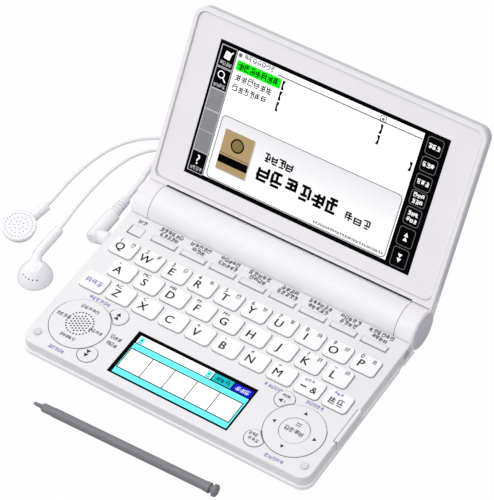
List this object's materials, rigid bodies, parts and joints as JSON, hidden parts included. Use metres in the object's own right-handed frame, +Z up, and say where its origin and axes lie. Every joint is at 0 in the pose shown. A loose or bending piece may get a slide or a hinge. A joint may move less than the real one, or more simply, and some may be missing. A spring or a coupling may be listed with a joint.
{
  "type": "electronic dictionary",
  "caption": "Clamshell pocket electronic dictionary with a hinged screen lid, small touch display, key rows, round pads, a stylus and wired earphones.",
  "frame": {"origin": "centre of the underside of the long front rubber foot, on the table", "axes": "+X to the right of the open device, +Y from the front edge to the hinge, +Z up"},
  "size_m": [0.1954, 0.1896, 0.0899],
  "materials": {
    "white_panel": "satin white case",
    "grey_rim": "pale grey satin",
    "white_gloss": "glossy white",
    "white_key": "satin white with dark printed legends",
    "pale_bezel": "pale grey-white satin",
    "screen_glass": "clear window",
    "display_module": "black display",
    "display_frame": "small touch display",
    "circuit_board": "green solder mask",
    "rubber_sheet": "matt silicone",
    "grey_rubber": "matt",
    "plated_steel": "bright",
    "cell_jacket": "printed sleeve over a cell",
    "speaker_basket": "dark",
    "stylus_grey": "violet-grey satin",
    "white_cord": "white"
  },
  "bodies": {
    "base": {"base_bottom_case": "grey_rim", "base_top_panel": "white_panel", "batteries": "cell_jacket", "battery_contacts": "plated_steel", "hinge_barrel": "white_gloss", "key_membrane": "rubber_sheet", "main_board": "circuit_board", "rubber_feet": "grey_rubber", "small_screen": "display_frame", "speaker": "speaker_basket", "stylus_silo": "white_panel", "earphone_plug": "white_cord", "main_cord": "white_cord", "cord_coil": "white_cord", "cord_splitter": "white_cord", "left_lead": "white_cord", "right_lead": "white_cord", "earbuds": "white_cord"},
    "lid": {"lid_front_bezel": "pale_bezel", "lid_back_shell": "white_gloss", "lcd_module": "display_module", "screen_window": "screen_glass", "hinge_pins": "plated_steel"},
    "battery_cover": {"battery_cover": "white_gloss"},
    "card_slot_cover": {"card_slot_cover": "white_panel"},
    "stylus": {"stylus": "stylus_grey"},
    "key_a": {"key_a": "white_key"},
    "key_b": {"key_b": "white_key"},
    "key_c": {"key_c": "white_key"},
    "key_d": {"key_d": "white_key"},
    "key_delete": {"key_delete": "white_key"},
    "key_e": {"key_e": "white_key"},
    "key_f": {"key_f": "white_key"},
    "key_g": {"key_g": "white_key"},
    "key_h": {"key_h": "white_key"},
    "key_i": {"key_i": "white_key"},
    "key_j": {"key_j": "white_key"},
    "key_k": {"key_k": "white_key"},
    "key_l": {"key_l": "white_key"},
    "key_m": {"key_m": "white_key"},
    "key_mark": {"key_mark": "white_key"},
    "key_n": {"key_n": "white_key"},
    "key_o": {"key_o": "white_key"},
    "key_p": {"key_p": "white_key"},
    "key_q": {"key_q": "white_key"},
    "key_r": {"key_r": "white_key"},
    "key_s": {"key_s": "white_key"},
    "key_shift": {"key_shift": "white_key"},
    "key_t": {"key_t": "white_key"},
    "key_u": {"key_u": "white_key"},
    "key_v": {"key_v": "white_key"},
    "key_w": {"key_w": "white_key"},
    "key_x": {"key_x": "white_key"},
    "key_y": {"key_y": "white_key"},
    "key_z": {"key_z": "white_key"},
    "power_button": {"power_button": "white_key"},
    "grille_pad": {"grille_pad": "white_key"},
    "cursor_ring": {"cursor_ring": "white_key"},
    "enter_button": {"enter_button": "white_key"},
    "menu_keys": {"menu_keys": "white_key"}
  },
  "joints": [
    {"name": "lid_hinge", "type": "hinge", "parent": "base", "child": "lid", "pos_m": [0, 0.0861, 0.01], "axis": [1, 0, 0], "range_deg": [-27.8, 122.2]},
    {"name": "battery_cover_slide", "type": "slide", "parent": "base", "child": "battery_cover", "axis": [0, 0.4067, -0.9135], "range_m": [0, 0.02]},
    {"name": "card_cover_slide", "type": "slide", "parent": "base", "child": "card_slot_cover", "axis": [1, 0, 0], "range_m": [0, 0.006]},
    {"name": "stylus_lift", "type": "slide", "parent": "base", "child": "stylus", "axis": [0, 0, 1], "range_m": [0, 0.1]},
    {"name": "key_a_press", "type": "slide", "parent": "base", "child": "key_a", "axis": [0, 0, -1], "range_m": [0, 0.0006], "stiffness_N_per_m": 400, "springref_m": -0.0005},
    {"name": "key_b_press", "type": "slide", "parent": "base", "child": "key_b", "axis": [0, 0, -1], "range_m": [0, 0.0006], "stiffness_N_per_m": 400, "springref_m": -0.0005},
    {"name": "key_c_press", "type": "slide", "parent": "base", "child": "key_c", "axis": [0, 0, -1], "range_m": [0, 0.0006], "stiffness_N_per_m": 400, "springref_m": -0.0005},
    {"name": "key_d_press", "type": "slide", "parent": "base", "child": "key_d", "axis": [0, 0, -1], "range_m": [0, 0.0006], "stiffness_N_per_m": 400, "springref_m": -0.0005},
    {"name": "key_delete_press", "type": "slide", "parent": "base", "child": "key_delete", "axis": [0, 0, -1], "range_m": [0, 0.0006], "stiffness_N_per_m": 400, "springref_m": -0.0005},
    {"name": "key_e_press", "type": "slide", "parent": "base", "child": "key_e", "axis": [0, 0, -1], "range_m": [0, 0.0006], "stiffness_N_per_m": 400, "springref_m": -0.0005},
    {"name": "key_f_press", "type": "slide", "parent": "base", "child": "key_f", "axis": [0, 0, -1], "range_m": [0, 0.0006], "stiffness_N_per_m": 400, "springref_m": -0.0005},
    {"name": "key_g_press", "type": "slide", "parent": "base", "child": "key_g", "axis": [0, 0, -1], "range_m": [0, 0.0006], "stiffness_N_per_m": 400, "springref_m": -0.0005},
    {"name": "key_h_press", "type": "slide", "parent": "base", "child": "key_h", "axis": [0, 0, -1], "range_m": [0, 0.0006], "stiffness_N_per_m": 400, "springref_m": -0.0005},
    {"name": "key_i_press", "type": "slide", "parent": "base", "child": "key_i", "axis": [0, 0, -1], "range_m": [0, 0.0006], "stiffness_N_per_m": 400, "springref_m": -0.0005},
    {"name": "key_j_press", "type": "slide", "parent": "base", "child": "key_j", "axis": [0, 0, -1], "range_m": [0, 0.0006], "stiffness_N_per_m": 400, "springref_m": -0.0005},
    {"name": "key_k_press", "type": "slide", "parent": "base", "child": "key_k", "axis": [0, 0, -1], "range_m": [0, 0.0006], "stiffness_N_per_m": 400, "springref_m": -0.0005},
    {"name": "key_l_press", "type": "slide", "parent": "base", "child": "key_l", "axis": [0, 0, -1], "range_m": [0, 0.0006], "stiffness_N_per_m": 400, "springref_m": -0.0005},
    {"name": "key_m_press", "type": "slide", "parent": "base", "child": "key_m", "axis": [0, 0, -1], "range_m": [0, 0.0006], "stiffness_N_per_m": 400, "springref_m": -0.0005},
    {"name": "key_mark_press", "type": "slide", "parent": "base", "child": "key_mark", "axis": [0, 0, -1], "range_m": [0, 0.0006], "stiffness_N_per_m": 400, "springref_m": -0.0005},
    {"name": "key_n_press", "type": "slide", "parent": "base", "child": "key_n", "axis": [0, 0, -1], "range_m": [0, 0.0006], "stiffness_N_per_m": 400, "springref_m": -0.0005},
    {"name": "key_o_press", "type": "slide", "parent": "base", "child": "key_o", "axis": [0, 0, -1], "range_m": [0, 0.0006], "stiffness_N_per_m": 400, "springref_m": -0.0005},
    {"name": "key_p_press", "type": "slide", "parent": "base", "child": "key_p", "axis": [0, 0, -1], "range_m": [0, 0.0006], "stiffness_N_per_m": 400, "springref_m": -0.0005},
    {"name": "key_q_press", "type": "slide", "parent": "base", "child": "key_q", "axis": [0, 0, -1], "range_m": [0, 0.0006], "stiffness_N_per_m": 400, "springref_m": -0.0005},
    {"name": "key_r_press", "type": "slide", "parent": "base", "child": "key_r", "axis": [0, 0, -1], "range_m": [0, 0.0006], "stiffness_N_per_m": 400, "springref_m": -0.0005},
    {"name": "key_s_press", "type": "slide", "parent": "base", "child": "key_s", "axis": [0, 0, -1], "range_m": [0, 0.0006], "stiffness_N_per_m": 400, "springref_m": -0.0005},
    {"name": "key_shift_press", "type": "slide", "parent": "base", "child": "key_shift", "axis": [0, 0, -1], "range_m": [0, 0.0006], "stiffness_N_per_m": 400, "springref_m": -0.0005},
    {"name": "key_t_press", "type": "slide", "parent": "base", "child": "key_t", "axis": [0, 0, -1], "range_m": [0, 0.0006], "stiffness_N_per_m": 400, "springref_m": -0.0005},
    {"name": "key_u_press", "type": "slide", "parent": "base", "child": "key_u", "axis": [0, 0, -1], "range_m": [0, 0.0006], "stiffness_N_per_m": 400, "springref_m": -0.0005},
    {"name": "key_v_press", "type": "slide", "parent": "base", "child": "key_v", "axis": [0, 0, -1], "range_m": [0, 0.0006], "stiffness_N_per_m": 400, "springref_m": -0.0005},
    {"name": "key_w_press", "type": "slide", "parent": "base", "child": "key_w", "axis": [0, 0, -1], "range_m": [0, 0.0006], "stiffness_N_per_m": 400, "springref_m": -0.0005},
    {"name": "key_x_press", "type": "slide", "parent": "base", "child": "key_x", "axis": [0, 0, -1], "range_m": [0, 0.0006], "stiffness_N_per_m": 400, "springref_m": -0.0005},
    {"name": "key_y_press", "type": "slide", "parent": "base", "child": "key_y", "axis": [0, 0, -1], "range_m": [0, 0.0006], "stiffness_N_per_m": 400, "springref_m": -0.0005},
    {"name": "key_z_press", "type": "slide", "parent": "base", "child": "key_z", "axis": [0, 0, -1], "range_m": [0, 0.0006], "stiffness_N_per_m": 400, "springref_m": -0.0005},
    {"name": "power_button_press", "type": "slide", "parent": "base", "child": "power_button", "axis": [0, 0, -1], "range_m": [0, 0.0005], "stiffness_N_per_m": 400, "springref_m": -0.0005},
    {"name": "grille_pad_press", "type": "slide", "parent": "base", "child": "grille_pad", "axis": [0, 0, -1], "range_m": [0, 0.0005], "stiffness_N_per_m": 400, "springref_m": -0.0005},
    {"name": "cursor_ring_press", "type": "slide", "parent": "base", "child": "cursor_ring", "axis": [0, 0, -1], "range_m": [0, 0.0003], "stiffness_N_per_m": 400, "springref_m": -0.0005},
    {"name": "enter_button_press", "type": "slide", "parent": "cursor_ring", "child": "enter_button", "axis": [0, 0, -1], "range_m": [0, 0.0003], "stiffness_N_per_m": 400, "springref_m": -0.0005},
    {"name": "menu_keys_press", "type": "slide", "parent": "base", "child": "menu_keys", "axis": [0, 0, -1], "range_m": [0, 0.0004], "stiffness_N_per_m": 400, "springref_m": -0.0005}
  ]
}
